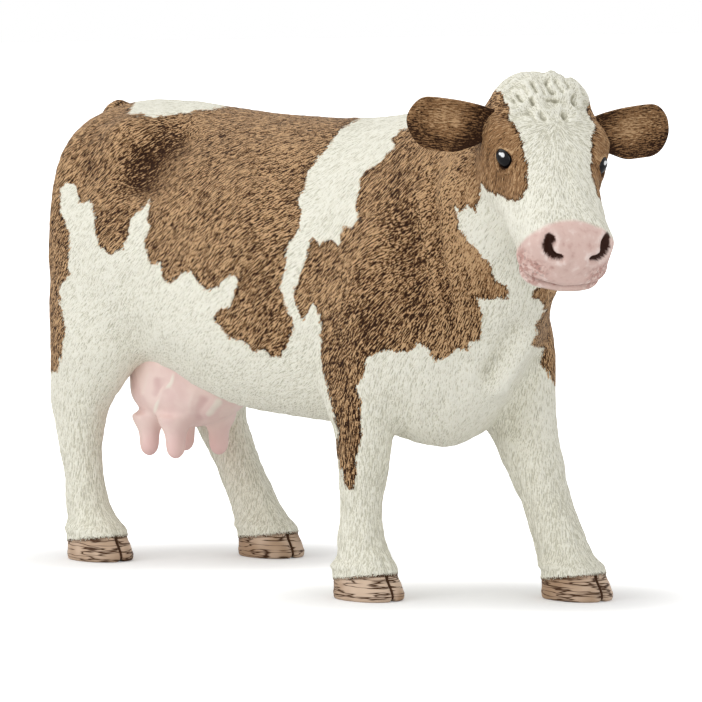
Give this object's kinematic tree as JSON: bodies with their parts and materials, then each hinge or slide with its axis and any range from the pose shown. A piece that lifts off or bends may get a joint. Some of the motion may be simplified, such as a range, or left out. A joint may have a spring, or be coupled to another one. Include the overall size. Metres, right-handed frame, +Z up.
{
  "type": "toy farm animal figure",
  "caption": "Moulded toy cow in mid stride with its head turned, keyed and glued from separate vinyl mouldings, to stand on its hooves.",
  "frame": {"origin": "on the ground, in the middle of the figure's bounding box", "axes": "+X towards the head, +Y to the cow's left, +Z up"},
  "size_m": [0.134, 0.0422, 0.0793],
  "materials": {
    "torso_paint": "painted vinyl, brown patches on a cream coat, matte, with fine moulded hair",
    "coat_paint": "painted vinyl, cream coat, matte, with fine moulded hair",
    "ear_paint": "painted vinyl, brown, matte",
    "udder_paint": "painted vinyl, pink skin, slightly satin"
  },
  "bodies": {
    "root": {"torso": "torso_paint", "head": "coat_paint", "right_ear": "ear_paint", "left_ear": "ear_paint", "front_right_leg": "coat_paint", "front_left_leg": "coat_paint", "rear_right_leg": "coat_paint", "rear_left_leg": "coat_paint", "udder": "udder_paint", "tail": "ear_paint"}
  },
  "joints": []
}
